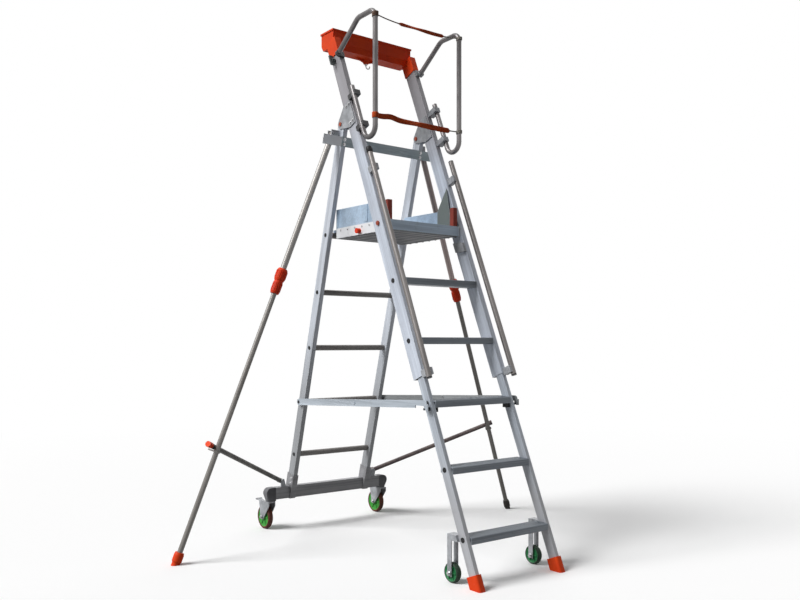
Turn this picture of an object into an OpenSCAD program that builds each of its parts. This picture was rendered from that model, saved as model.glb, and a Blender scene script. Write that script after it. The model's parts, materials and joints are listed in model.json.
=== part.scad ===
// Free-standing orchard ladder with a platform, a telescoping front section,
// a rear frame on castors and two outrigger poles.
// X is to the right seen from the climbing side, -Y is the climbing side, Z is up.
// All lengths are in millimetres, the origin is on the floor at the middle.

/* [Front ladder] */
// Spacing of steps and rungs along the stiles
step_pitch = 300; // [294:1:304]
// Backward lean of the front ladder in degrees
front_lean = 22.7; // [22:0.1:23.4]
// Half of the clear width between the upper stiles
front_half = 228; // [216:1:240]
// Depth of an upper stile from front to back
stile_depth = 70; // [68:1:74]
// Thickness of an upper stile across the ladder
stile_thick = 28; // [27:1:30]
// Depth of a tread
tread_depth = 80; // [70:1:88]
// Height of a tread
tread_height = 30; // [26:1:34]
// Length of the front stiles above the platform hinge
head_run = 978; // [930:1:1010]
// Distance of the fold pivot above the platform hinge, along the stile
apex_run = 607; // [580:1:640]

/* [Rear frame] */
// Forward lean of the rear frame in degrees
rear_lean = 15.3; // [14.6:0.1:16]
// Outer diameter of a rear rung
rung_dia = 30; // [26:1:32]
// Depth of a rear stile from front to back
rear_depth = 55; // [50:1:58]
// Half length of the knee bar
knee_half = 368; // [340:1:390]

/* [Base and wheels] */
// Half length of the base bar without its end caps
base_half = 345; // [338:1:360]
// Height of the base bar
base_height = 64; // [58:1:68]
// Diameter of a rear castor wheel
castor_dia = 130; // [122:1:132]
// Diameter of a front wheel
roller_dia = 86; // [80:1:92]

/* [Platform] */
// Thickness of the platform
deck_thick = 50; // [46:1:52]
// Height of the toe boards above the deck
toe_height = 96; // [80:1:110]

/* [Guard and tray] */
// Diameter of the guard and handrail tubes
tube_dia = 25; // [22:1:26]
// Depth of the tray from front to back
tray_depth = 110; // [100:1:120]
// Height of the tray wall
tray_height = 92; // [84:1:98]
// Width of the gate straps
strap_width = 30; // [22:1:34]

/* [Outriggers] */
// Outer diameter of the upper pole tube
pole_dia = 30; // [29:0.5:32]
// Sideways reach of an outrigger foot from the middle
pole_reach = 1060; // [1000:5:1100]
// Diameter of a brace tube
brace_dia = 24; // [20:1:26]

/* [Hidden] */
$fn = 32;
cf = cos(front_lean);
sf = sin(front_lean);
cr = cos(rear_lean);
sr = sin(rear_lean);
foot_y = -787.5;
front_out = front_half + stile_thick;
wall = 2;
// lower section stile, running inside the upper one
low_in = front_half + 3;
low_out = front_out - 5;
low_front = -(stile_depth / 2 - 3.5);
low_back = 12;
up_lo = step(3) + 123;
up_hi = step(6) + head_run;
low_top = step(6) - 54;
// fold pivot at the apex
apex_y = 84;
apex_s = step(6) + apex_run;
apex = fpt(0, apex_y, apex_s);
rear_y = apex[1] + apex[2] * tan(rear_lean);
rear_out = front_out - 0.5;
rear_in = rear_out - 24.5;
// platform levels
pivot = fpt(0, 0, step(6));
deck_top = pivot[2] + 20;
deck_low = deck_top - deck_thick;
rung_z = deck_top - 14 - rung_dia / 2 - 0.4;
rung_s = rung_z / cr;
deck_half = front_half - 10;
deck_front = pivot[1] - 35;
deck_back = rpt(0, 0, rung_s)[1] - 50.6;
// base bar
base_z = castor_dia + 33 + base_height / 2;
base_y = rear_y - base_z * tan(rear_lean);
base_top = base_z + base_height / 2;
base_low = base_z - base_height / 2;
stem_x = base_half + 27;
trail = 50;
// handrails and guard
rail_x = front_out + 3;
rail_n = 76;
rail_lo = step(3) + 98;
rail_hi = up_hi - 614;
loop_x = front_out + 7;
loop_s = up_hi - 37;
loop_up = 128;
loop_n = stile_depth / 2 + 3.4;
loop_start = fpt(loop_x, -loop_n, loop_s);
loop_top = loop_start[2] + loop_up;
loop_rise = 36.5;
loop_r1 = 60;
loop_run1 = (loop_up - loop_r1 * (1 - cos(loop_rise))) / sin(loop_rise);
loop_run2 = 82;
loop_drop = 508;
loop_y = loop_start[1] - loop_run1 * cos(loop_rise) - loop_r1 * sin(loop_rise) - loop_run2 - 40;
loop_end = [loop_y + 47 + 47 * cf, loop_top - 40 - loop_drop - 47 * sf];
tray_low = fpt(0, 0, up_hi)[2] + 40;
tray_front = fpt(0, 0, up_hi)[1] + 18;
hook_y = tray_front + tray_depth - 45;
// outrigger poles
pole_top = [rear_out + 30, apex[1] + 36, apex[2] - 45];
pole_set = 1119;
pole_foot = [pole_reach, foot_y + pole_set, 0];
pole_vec = pole_foot - pole_top;
pole_len = norm(pole_vec);
pole_dir = pole_vec / pole_len;
collar_z = 1305;
pole_join = (pole_top[2] - collar_z) / -pole_dir[2];
leg_dia = pole_dia - 5;
clip_z = 519;
clip_at = (pole_top[2] - clip_z) / -pole_dir[2];
clip = pole_top + pole_dir * clip_at;
brace_base = [rear_out + 55, base_y - 2, base_top + 34];
brace_nrm = unit(cross(pole_dir, unit(clip - brace_base)));
brace_off = brace_nrm[1] > 0 ? brace_nrm : -brace_nrm;
brace_tip = clip + brace_off * (leg_dia / 2 + brace_dia / 2 + 3);
brace_vec = brace_tip - brace_base;
brace_len = norm(brace_vec);
// spreader bars
bar_a = front_out + 12.5;
bar_b = bar_a + 5.5;
bar_h = 34;
bar_rear_s = rung_s - 3 * step_pitch;
bar_rear = rpt(0, 0, bar_rear_s);
stud = fpt(0, -10, step(3) - 26);
bar_front = [0, stud[1], stud[2] + 5.4 + bar_h / 2];
bar_mid = (bar_rear + bar_front) / 2;
bar_tilt = atan2(bar_front[2] - bar_rear[2], bar_rear[1] - bar_front[1]);
bar_half = norm(bar_front - bar_rear) / 2;

// place along a stile of a numbered step of the front ladder
function step(k) = k * step_pitch - 96;
// floor frame point from a place on the front ladder: across, behind, along
function fpt(x, y, s) = [x, foot_y + s * sf + y * cf, s * cf - y * sf];
// floor frame point from a place on the rear frame: across, behind, along
function rpt(x, y, s) = [x, rear_y - s * sr + y * cr, s * cr + y * sr];
function unit(v) = v / norm(v);

module in_front() {
    translate([0, foot_y, 0]) rotate([-front_lean, 0, 0]) children();
}

module in_rear() {
    translate([0, rear_y, 0]) rotate([rear_lean, 0, 0]) children();
}

module left() {
    mirror([1, 0, 0]) children();
}

module both() {
    children();
    left() children();
}

// box given by its two corners
module span(a, b) {
    translate(a) cube(b - a);
}

// round bar along X between two places
module xrod(x0, x1, d) {
    translate([x0, 0, 0]) rotate([0, 90, 0]) cylinder(d = d, h = x1 - x0);
}

// turn +Z to the direction v
module along(v) {
    rotate([0, acos(v[2] / norm(v)), atan2(v[1], v[0])]) children();
}

// bent tube: straight runs, each followed by a bend towards local +X;
// a thin sleeve covers the joint between a run and a bend
module bent(runs, d, i = 0) {
    if (i < len(runs)) {
        run = runs[i][0];
        turn = runs[i][1];
        rad = runs[i][2];
        from = i > 0 ? 0.4 : 0;
        to = turn > 0 ? run - 0.4 : run;
        translate([0, 0, from]) cylinder(d = d, h = to - from);
        if (i > 0) translate([0, 0, -2]) cylinder(d = d + 0.8, h = 4);
        translate([0, 0, run]) {
            if (turn > 0) {
                translate([0, 0, -2]) cylinder(d = d + 0.8, h = 4);
                translate([rad, 0, 0]) rotate([90, 0, 180]) rotate_extrude(angle = turn)
                    translate([rad, 0]) circle(d = d);
            }
            translate([rad * (1 - cos(turn)), 0, rad * sin(turn)]) rotate([0, turn, 0])
                bent(runs, d, i + 1);
        }
    }
}

// frame brackets, stiles and steps of the front ladder
module stile_tube(x0, x1, y0, y1, s0, s1) {
    difference() {
        span([x0, y0, s0], [x1, y1, s1]);
        span([x0 + wall, y0 + wall, s0 - 1], [x1 - wall, y1 - wall, s1 + 1]);
    }
}

module upper_stile_one() {
    difference() {
        in_front() stile_tube(front_half, front_out, -stile_depth / 2, stile_depth / 2,
            up_lo, up_hi);
        translate([0, pivot[1], pivot[2]]) xrod(front_half - 5, front_out + 5, 12);
        in_front() translate([0, 10, up_hi - 42]) xrod(front_out - 5, front_out + 5, 8.1);
    }
}

module upper_stiles() {
    color("#b9bec6") both() upper_stile_one();
}

module tread(half) {
    rib = 1.2;
    rotate([90, 0, 90]) translate([0, 0, -half]) linear_extrude(2 * half) difference() {
        union() {
            offset(r = 3) square([tread_depth - 6, tread_height - 6], center = true);
            for (k = [-4 : 4]) translate([k * (tread_depth - 14) / 8 - 2, tread_height / 2 - 1])
                square([4, 1 + rib]);
        }
        offset(r = 2) square([tread_depth - 11, tread_height - 11], center = true);
    }
}

module upper_treads() {
    color("#aeb4bc") for (k = [4, 5])
        translate(fpt(0, 0, step(k))) tread(front_half);
}

module upper_plugs() {
    color("#1c1d1f") both() {
        for (k = [4, 5]) translate(fpt(0, 0, step(k))) xrod(front_out, front_out + 2.5, 22);
        in_front() for (s = [rail_lo - 4, rail_hi])
            translate([rail_x, -rail_n, s]) cylinder(d = tube_dia + 1, h = 4);
        in_front() difference() {
            span([front_half + wall, wall - stile_depth / 2, up_lo],
                [front_out - wall, stile_depth / 2 - wall, up_lo + 40]);
            span([low_in - 0.4, low_front - 0.4, up_lo - 1],
                [low_out + 0.4, low_back + 0.4, up_lo + 41]);
        }
    }
}

module apex_plate(x0, x1) {
    in_front() translate([x0, 0, 0]) rotate([90, 0, 90]) linear_extrude(x1 - x0)
        difference() {
            hull() {
                translate([apex_y, apex_s]) circle(r = 23);
                translate([-stile_depth / 2 + 6, apex_s - 60]) square([50, 130]);
            }
            translate([apex_y, apex_s]) circle(d = 12);
        }
}

module frame_brackets() {
    color("#8d949d") both() {
        apex_plate(front_out, front_out + 5);
        apex_plate(front_half - 5, front_half);
        intersection() {
            in_front() span([front_half - 16, -stile_depth / 2, step(6) - 130],
                [front_half, stile_depth / 2 - 8, step(6)]);
            span([0, pivot[1] - 300, pivot[2] - 110], [front_half, pivot[1] + 300,
                pivot[2] - 62]);
        }
    }
}

module hinge_pins() {
    color("#a33222") both() {
        translate(apex) {
            xrod(front_half - 9, front_out + 8, 12);
            xrod(front_out + 5, front_out + 9, 20);
            xrod(front_half - 10, front_half - 5, 20);
        }
        translate(pivot) {
            xrod(front_half - 22, front_out + 5, 12);
            xrod(front_out, front_out + 6, 22);
        }
    }
}

module tube_z(d, h) {
    difference() {
        cylinder(d = d, h = h);
        translate([0, 0, -1]) cylinder(d = d - 4, h = h + 2);
    }
}

module handrails() {
    color("#8a8682") both() in_front() translate([rail_x, -rail_n, rail_lo])
        tube_z(tube_dia + 1, rail_hi - rail_lo);
}

module handrail_brackets() {
    color("#6f6d6c") both() in_front() for (s = [rail_lo + 28, rail_hi - 100])
        difference() {
            span([rail_x - 24, -rail_n - 8, s - 16], [rail_x + 4, -stile_depth / 2, s + 16]);
            translate([rail_x, -rail_n, s - 30]) cylinder(d = tube_dia + 1, h = 60);
        }
}

// orange tray: a trough with closed ends, a rim and two sockets on the stile tops
function trough(t, top) = [[t, top], [t, 26 + t / 2], [16 + t / 2, t], [tray_depth - 16 - t / 2, t],
    [tray_depth - t, 26 + t / 2], [tray_depth - t, top]];

module trough_body(x, t, top) {
    translate([-x, tray_front, tray_low]) rotate([90, 0, 90]) linear_extrude(2 * x)
        polygon(trough(t, top));
}

module tray() {
    half = front_half + 22;
    rim = tray_low + tray_height;
    color("#d8431f") difference() {
        union() {
            trough_body(half, 0, tray_height);
            span([-half - 4, tray_front - 4, rim - 9], [half + 4, tray_front + tray_depth + 4,
                rim]);
            both() in_front() difference() {
                span([front_half - 4, -stile_depth / 2 - 4, up_hi - 17],
                    [front_out + 4, stile_depth / 2 + 4, up_hi + 72]);
                span([front_half, -stile_depth / 2, up_hi - 30],
                    [front_out, stile_depth / 2, up_hi]);
            }
            translate([0, hook_y, tray_low - 22]) cylinder(d1 = 26, d2 = 46, h = 23);
            translate([0, hook_y + 4, tray_low]) rotate([90, 0, 0]) linear_extrude(8)
                polygon([[-74, 1], [74, 1], [12, -19], [-12, -19]]);
        }
        trough_body(half - 4, 5, tray_height + 60);
        span([-half - 60, tray_front - 200, rim], [half + 60, tray_front + 400, rim + 300]);
        translate([0, hook_y, tray_low - 40]) cylinder(d = 8.14, h = 60);
        translate([0, hook_y, tray_low - 9]) cylinder(d = 17, h = 40);
    }
}

module tray_hook() {
    color("#9aa0a6") translate([0, hook_y, tray_low]) {
        translate([0, 0, -34]) cylinder(d = 8, h = 30);
        translate([0, 0, -8]) cylinder(d = 15, h = 5);
        translate([0, 0, -30]) cylinder(d = 14, h = 7.5);
        translate([12, 0, -34]) rotate([90, 0, 0]) rotate([0, 0, 180])
            rotate_extrude(angle = 200) translate([12, 0]) circle(d = 6);
    }
}

// two guard loops at the front of the upper stiles
module at_loop() {
    multmatrix([[0, 1, 0, loop_start[0]], [-sin(loop_rise), 0, -cos(loop_rise),
        loop_start[1]], [-cos(loop_rise), 0, sin(loop_rise), loop_start[2]]]) children();
}

module guard_loops() {
    color("#6e6a68") both() at_loop()
        bent([[loop_run1, loop_rise, loop_r1], [loop_run2, 90, 40],
            [loop_drop, 180 - front_lean, 47], [268, 0, 1]], tube_dia);
}

module loop_clamps() {
    color("#77777a") both() difference() {
        union() {
            for (r = [46, 226]) translate([0, loop_end[0] + r * sf, loop_end[1] + r * cf])
                rotate([-front_lean, 0, 0])
                    span([front_out - 20, -18, -13], [loop_x + 9, 60, 13]);
            in_front() translate([loop_x, -stile_depth / 2, loop_s]) rotate([90, 0, 0])
                cylinder(d = tube_dia + 10, h = 16);
            in_front() span([front_out - 24, -stile_depth / 2 - 12, loop_s - 16],
                [loop_x, -stile_depth / 2, loop_s + 16]);
        }
        in_front() span([0, -stile_depth / 2, up_lo], [400, 300, up_hi]);
        at_loop() cylinder(d = tube_dia, h = 60);
        translate([loop_x, loop_end[0], loop_end[1]]) rotate([-front_lean, 0, 0])
            cylinder(d = tube_dia, h = 268);
    }
}

module wing_knob() {
    in_front() translate([0, 10, up_hi - 42]) {
        xrod(front_out - 4, front_out + 20, 8);
        xrod(front_out + 1, front_out + 20, 22);
        span([front_out + 8, -5, -26], [front_out + 30, 5, 26]);
    }
}

module wing_knob_left() {
    color("#5c6166") left() wing_knob();
}

module wing_knob_right() {
    color("#5c6166") wing_knob();
}

// webbing strap between the loops, hanging with a little sag
module strap(x0, x1, z, sag, w) {
    n = 16;
    len_x = x1 - x0;
    top = [for (i = [0 : n]) [x0 + len_x * i / n, z + w / 2 - sag * 4 * (i / n) * (1 - i / n)]];
    low = [for (i = [n : -1 : 0]) [x0 + len_x * i / n,
        z - w / 2 - sag * 4 * (i / n) * (1 - i / n)]];
    translate([0, loop_y + 1.5, 0]) rotate([90, 0, 0]) linear_extrude(3)
        polygon(concat(top, low));
}

module strap_upper() {
    color("#b0431f") strap(-loop_x + tube_dia / 2, loop_x - tube_dia / 2, loop_top - 30, 16,
        strap_width - 8);
}

module strap_lower() {
    color("#b0431f") strap(-loop_x + tube_dia / 2, loop_x - tube_dia / 2,
        loop_top - loop_drop + 4, 12, strap_width);
}

// telescoping lower section of the front ladder
module lower_stiles() {
    color("#c3c8d0") both() in_front()
        stile_tube(low_in, low_out, low_front, low_back, 30, low_top);
}

module lower_treads() {
    color("#aeb4bc") for (k = [1, 2, 3]) translate(fpt(0, 0, step(k))) tread(low_in);
}

module lower_plugs() {
    color("#1c1d1f") both() {
        for (k = [1, 2, 3]) translate(fpt(0, -9, step(k))) xrod(low_out, low_out + 2, 22);
        translate(stud) {
            xrod(low_out, bar_b + 5, 10);
            xrod(low_out, low_out + 4, 18);
        }
        translate(stud) span([low_in - 22, -14, -14], [low_in, 12, 4]);
    }
}

module front_feet() {
    mid = [(low_in + low_out) / 2, (low_front + low_back) / 2 + 2];
    color("#d2391f") both() intersection() {
        in_front() difference() {
            translate([mid[0], mid[1], -60]) linear_extrude(116) offset(r = 11)
                square([low_out - low_in - 4, low_back - low_front - 2], center = true);
            span([low_in, low_front, 30], [low_out, low_back, 100]);
        }
        translate([0, -1000, 0]) cube([600, 1000, 400]);
    }
}

module guide_shoes() {
    color("#2a2b2d") both() in_front() difference() {
        span([front_half + wall + 0.4, 2.4 - stile_depth / 2, low_top - 80],
            [front_out - wall - 0.4, stile_depth / 2 - 2.4, low_top]);
        span([low_in, low_front, low_top - 90], [low_out, low_back, low_top + 10]);
    }
}

roll_x = (low_in + low_out) / 2 + 4;
roll_y = foot_y + 140;
roll_r = roller_dia / 2;

module wheel_arms() {
    back = foot_y + 190 * tan(front_lean) + low_back / cf;
    color("#7c838b") both() {
        for (x = [roll_x - 20, roll_x + 16]) span([x, roll_y - 13, roll_r - 14],
            [x + 4, roll_y + 13, 208]);
        difference() {
            union() {
                span([low_in, back - 14, 182], [roll_x + 20, roll_y + 13, 208]);
                span([roll_x - 20, roll_y - 13, 182], [roll_x + 20, roll_y + 13, 208]);
            }
            in_front() span([0, -100, 0], [400, low_back, 400]);
        }
        translate([0, roll_y, roll_r]) xrod(roll_x - 22, roll_x + 22, 8);
    }
}

// wheel hub and tyre about the X axis
module hub(dia, width, bore) {
    rotate([0, 90, 0]) rotate_extrude() polygon([[bore / 2, -width / 2],
        [dia * 0.16, -width / 2], [dia * 0.18, -width / 2 + 5], [dia * 0.35, -width / 2 + 5],
        [dia * 0.41, -width / 2 + 2], [dia * 0.41, width / 2 - 2],
        [dia * 0.35, width / 2 - 5], [dia * 0.18, width / 2 - 5],
        [dia * 0.16, width / 2], [bore / 2, width / 2]]);
}

module tyre(dia, width) {
    rotate([0, 90, 0]) rotate_extrude() polygon([[dia * 0.41, -width / 2 + 2],
        [dia * 0.45, -width / 2], [dia * 0.487, -width / 2 + 4], [dia / 2, -width / 4],
        [dia / 2, width / 4], [dia * 0.487, width / 2 - 4], [dia * 0.45, width / 2],
        [dia * 0.41, width / 2 - 2]]);
}

module front_hub() {
    translate([roll_x, roll_y, roll_r]) hub(roller_dia, 28, 8.14);
}

module front_tyre() {
    translate([roll_x, roll_y, roll_r]) tyre(roller_dia, 28);
}

module front_hub_left() {
    color("#4f9b52") left() front_hub();
}

module front_hub_right() {
    color("#4f9b52") front_hub();
}

module front_tyre_left() {
    color("#3a2520") left() front_tyre();
}

module front_tyre_right() {
    color("#3a2520") front_tyre();
}

// rear frame
module rear_stile_one() {
    difference() {
        in_rear() stile_tube(rear_in, rear_out, -rear_depth / 2, rear_depth / 2, 100,
            apex[2] / cr + 26);
        span([0, rear_y - 400, 0], [400, rear_y + 400, base_top]);
        translate(apex) xrod(front_half - 20, front_out + 20, 12.14);
    }
}

module rear_stiles() {
    color("#b9bec6") both() rear_stile_one();
}

module rear_rungs() {
    color("#8f959c") for (k = [0 : 4]) translate(rpt(0, 0, rung_s - k * step_pitch))
        difference() {
            xrod(-rear_in, rear_in, rung_dia);
            xrod(-rear_in - 1, rear_in + 1, rung_dia - 5);
        }
}

module rear_plugs() {
    color("#1c1d1f") both() {
        for (k = [0, 1, 2, 4]) translate(rpt(0, 0, rung_s - k * step_pitch))
            xrod(rear_out, rear_out + 2.5, 20);
        translate(bar_rear) {
            xrod(rear_out, bar_a - 0.5, 20);
            xrod(rear_out, bar_a + 6, 10);
            xrod(bar_a + 5.3, bar_a + 8, 16);
        }
    }
}

module base_bar() {
    color("#5b5d63") {
        difference() {
            span([-base_half, base_y - 20, base_low], [base_half, base_y + 20, base_top]);
            span([-base_half - 1, base_y - 17, base_low + 3], [base_half + 1, base_y + 17,
                base_top - 3]);
        }
        both() difference() {
            intersection() {
                in_rear() span([rear_in - 4, -rear_depth / 2 - 4, base_top - 60],
                    [rear_out + 4, rear_depth / 2 + 4, base_top / cr + 70]);
                span([0, rear_y - 600, base_low - 4], [400, rear_y + 300, base_top + 200]);
            }
            in_rear() span([rear_in, -rear_depth / 2, 100], [rear_out, rear_depth / 2, 900]);
            span([0, base_y - 20, base_low], [400, base_y + 20, base_top]);
        }
    }
}

module base_caps() {
    color("#26282b") both() difference() {
        hull() {
            span([base_half, base_y - 21, base_low - 8], [base_half + 28, base_y + 21,
                base_top + 1]);
            translate([base_half + 28, base_y, base_top - 27]) rotate([90, 0, 0])
                cylinder(r = 28, h = 42, center = true);
            translate([stem_x, base_y, base_low - 8]) cylinder(d = 42, h = 10);
        }
        translate([stem_x, base_y, 0]) cylinder(d = 16.14, h = base_top - 12);
    }
}

module knee_bar() {
    n = 24;
    y0 = -rear_depth / 2;
    in_x = rear_in - 14;
    out = [for (i = [-n : n]) let (x = knee_half * i / n)
        [x, abs(x) < in_x ? y0 + 14 * (1 + cos(180 * x / in_x)) : y0]];
    inn = [for (i = [n : -1 : -n]) let (x = knee_half * i / n)
        [x, (abs(x) < in_x ? y0 + 14 * (1 + cos(180 * x / in_x)) : y0) - 5]];
    color("#7d8b90") in_rear() translate([0, 0, apex[2] / cr - 106]) linear_extrude(48)
        polygon(concat(out, inn));
}

// clevis on each rear stile for the outrigger pole
module outrigger_brackets() {
    color("#8d949d") both() {
        span([rear_out, pole_top[1] - 18, pole_top[2] - 26], [rear_out + 4,
            pole_top[1] + 18, pole_top[2] + 19]);
        for (y = [-18, 14]) difference() {
            span([rear_out + 4, pole_top[1] + y, pole_top[2] - 18], [pole_top[0] + 16,
                pole_top[1] + y + 4, pole_top[2] + 18]);
            translate(pole_top) rotate([90, 0, 0]) cylinder(d = 10, h = 80, center = true);
        }
        translate(pole_top) rotate([90, 0, 0]) cylinder(d = 10, h = 44, center = true);
    }
}

module brace_brackets() {
    color("#8d949d") both() {
        hull() {
            translate(brace_base - brace_off * 20) along(brace_off) cylinder(r = 14, h = 6);
            span([brace_base[0] - 28, base_y - 18, base_top], [brace_base[0] + 2,
                base_y - 12, base_top + 3]);
        }
        translate(brace_base - brace_off * 16) along(brace_off) cylinder(d = 10, h = 34);
        translate(brace_base + brace_off * 13) along(brace_off) cylinder(d = 16, h = 4);
    }
}

module castor_fork() {
    mid = castor_dia / 2;
    cheek = [[-24, base_low - 9], [trail + 8, base_low - 9], [trail + 32, castor_dia + 16],
        [trail + 16, mid - 7], [trail, mid - 15], [trail - 16, mid - 7], [-24, base_low - 32]];
    translate([stem_x, base_y, 0]) {
        translate([0, 0, base_low - 12]) cylinder(d = 16, h = base_height - 10);
        span([-21, -24, base_low - 15], [21, 40, base_low - 9]);
        for (x = [-21, 17]) translate([x, 0, 0]) rotate([90, 0, 90]) linear_extrude(4)
            polygon(cheek);
        translate([0, trail, mid]) xrod(-24, 24, 10);
        translate([0, trail + 20, castor_dia + 12]) xrod(-22, 22, 6);
    }
}

module castor_fork_left() {
    color("#9aa0a6") left() castor_fork();
}

module castor_fork_right() {
    color("#9aa0a6") castor_fork();
}

module castor_hub() {
    translate([stem_x, base_y + trail, castor_dia / 2]) hub(castor_dia, 28, 10.14);
}

module castor_tyre() {
    translate([stem_x, base_y + trail, castor_dia / 2]) tyre(castor_dia, 30);
}

module castor_hub_left() {
    color("#4f9b52") left() castor_hub();
}

module castor_hub_right() {
    color("#4f9b52") castor_hub();
}

module castor_tyre_left() {
    color("#3a2520") left() castor_tyre();
}

module castor_tyre_right() {
    color("#3a2520") castor_tyre();
}

module brake_pedal() {
    translate([stem_x, base_y + trail + 20, castor_dia + 12]) rotate([10, 0, 0]) {
        difference() {
            xrod(-15, 15, 13);
            xrod(-30, 30, 6.14);
        }
        span([-13, 5, -2.5], [13, 50, 2.5]);
        span([-18, 48, -3.5], [18, 58, 3.5]);
    }
}

module brake_pedal_left() {
    color("#b4b9bf") left() brake_pedal();
}

module brake_pedal_right() {
    color("#b4b9bf") brake_pedal();
}

// outriggers: an upper tube, a sliding leg, a collar and a foot
module pole_up() {
    difference() {
        union() {
            translate(pole_top) rotate([90, 0, 0]) cylinder(d = 26, h = 27, center = true);
            translate(pole_top + pole_dir * 6) along(pole_dir)
                cylinder(d = 22, h = 20);
            translate(pole_top + pole_dir * 24) along(pole_dir)
                cylinder(d = pole_dia, h = pole_join - 24);
        }
        translate(pole_top + pole_dir * 60) along(pole_dir)
            cylinder(d = leg_dia + 1, h = pole_len);
        translate(pole_top) rotate([90, 0, 0]) cylinder(d = 10.14, h = 60, center = true);
    }
}

module pole_left() {
    color("#9a958c") left() pole_up();
}

module pole_right() {
    color("#9a958c") pole_up();
}

module pole_collar() {
    translate(pole_top + pole_dir * (pole_join - 66)) along(pole_dir) rotate_extrude()
        polygon([[pole_dia / 2 + 0.07, 0], [22, 0], [26, 8], [27, 50], [24, 60], [21, 64],
            [23, 70], [23, 118], [20, 128], [leg_dia / 2 + 0.4, 128],
            [leg_dia / 2 + 0.4, 68], [pole_dia / 2 + 0.07, 68]]);
}

module pole_collar_left() {
    color("#d2301a") left() pole_collar();
}

module pole_collar_right() {
    color("#d2301a") pole_collar();
}

module pole_leg() {
    rest = clip + pole_dir * (brace_dia / 2 + 3);
    translate(pole_top + pole_dir * (pole_join - 330)) along(pole_dir)
        tube_z(leg_dia, pole_len - pole_join + 330 - 26);
    difference() {
        hull() {
            translate(rest) along(pole_dir) cylinder(d = leg_dia + 10, h = 7);
            translate(rest + brace_off * (leg_dia / 2 + brace_dia)) along(pole_dir)
                cylinder(d = 20, h = 7);
        }
        translate(clip) along(pole_dir) cylinder(d = leg_dia + 0.14, h = 160);
    }
}

module pole_leg_left() {
    color("#8f8a84") left() pole_leg();
}

module pole_leg_right() {
    color("#8f8a84") pole_leg();
}

module pole_shoe(d) {
    difference() {
        translate(pole_foot - pole_dir * 58) along(pole_dir) {
            cylinder(d1 = d - 6, d2 = d, h = 12);
            translate([0, 0, 12]) cylinder(d = d, h = 28);
            translate([0, 0, 40]) cylinder(d1 = d, d2 = d - 8, h = 8);
            translate([0, 0, 48]) cylinder(d = d - 8, h = 40);
        }
        translate(pole_foot - pole_dir * 90) along(pole_dir) cylinder(d = leg_dia, h = 64);
        translate(pole_foot - [200, 200, 200]) cube([400, 400, 200]);
    }
}

module pole_foot_left() {
    color("#d2391f") left() pole_shoe(46);
}

module pole_foot_right() {
    color("#33302f") pole_shoe(38);
}

// brace from the base bar to the pole, with a free end past the pole
module brace(over) {
    difference() {
        union() {
            translate(brace_base - brace_off * 12.5) along(brace_off)
                cylinder(d = 26, h = 25);
            translate(brace_base) along(brace_vec) cylinder(d = brace_dia,
                h = brace_len + over);
            translate(brace_tip) along(brace_vec) translate([0, 0, over - 20])
                cylinder(d = brace_dia + 4, h = 30);
        }
        translate(brace_base - brace_off * 40) along(brace_off)
            cylinder(d = 10.14, h = 80);
    }
}

module brace_left() {
    color("#77736d") left() brace(38);
}

module brace_right() {
    color("#77736d") brace(22);
}

// platform: a deck of hollow bays, side plates with toe boards, corner posts
module platform() {
    bay = (deck_back - deck_front - 12) / 4;
    color("#a7b2bf") {
        difference() {
            span([-deck_half, deck_front, deck_low], [deck_half, deck_back, deck_top]);
            for (k = [0 : 3]) span([-deck_half - 1, deck_front + 4 + k * (bay + 1.4),
                deck_low + 3], [deck_half + 1, deck_front + 4 + k * (bay + 1.4) + bay - 2,
                deck_top - 3]);
        }
        for (k = [0 : floor((deck_back - deck_front - 45) / 36)])
            span([-deck_half + 34, deck_front + 30 + k * 36, deck_top - 1],
                [deck_half - 34, deck_front + 38 + k * 36, deck_top + 1.5]);
        for (x = [-deck_half + 20, deck_half - 60]) span([x, deck_back - 4, deck_top - 13.6],
            [x + 40, rpt(0, 0, rung_s)[1] + 14, deck_top]);
    }
}

module toe_boards() {
    toe = deck_top + toe_height;
    color("#a9bedb") both() {
        difference() {
            translate([deck_half, 0, 0]) rotate([90, 0, 90]) linear_extrude(4)
                polygon([[deck_front, deck_low], [deck_back, deck_low], [deck_back, toe],
                    [pivot[1] + 132, toe - 4], [pivot[1] + 59, deck_top + 204],
                    [pivot[1] + 26, deck_top + 40], [deck_front, deck_top]]);
            translate(pivot) xrod(100, 300, 12.14);
            translate([0, pivot[1] + 201, deck_top - 33]) xrod(100, 300, 10.2);
        }
        for (y = [deck_back - 24, pivot[1] + 132]) span([deck_half + 4, y, deck_top + 8],
            [deck_half + 6.5, y + 20, toe - 6]);
    }
}

module platform_posts() {
    color("#8e2f20") both() span([deck_half - 26, pivot[1] - 25, deck_top + 0],
        [deck_half - 2, pivot[1] + 2, deck_top + 94]);
}

module platform_knob() {
    translate([0, pivot[1] + 201, deck_top - 33]) {
        xrod(deck_half - 20, deck_half + 14, 10);
        xrod(deck_half + 5, deck_half + 24, 26);
    }
}

module platform_knob_left() {
    color("#d8542f") left() platform_knob();
}

module platform_knob_right() {
    color("#d8542f") platform_knob();
}

// folding spreader bars: a rear half on the rear stile, a front half with a hook end
module spreader_rear() {
    difference() {
        union() {
            translate([bar_a, 0, 0]) rotate([90, 0, 90]) linear_extrude(5) hull() {
                translate([bar_rear[1], bar_rear[2]]) circle(d = bar_h);
                translate([bar_mid[1], bar_mid[2]]) circle(d = bar_h);
            }
            translate(bar_mid) xrod(bar_a, bar_b + 6, 8);
            translate(bar_mid) xrod(bar_b + 5.3, bar_b + 8, 14);
        }
        translate(bar_rear) xrod(bar_a - 5, bar_a + 20, 10.14);
    }
}

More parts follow.
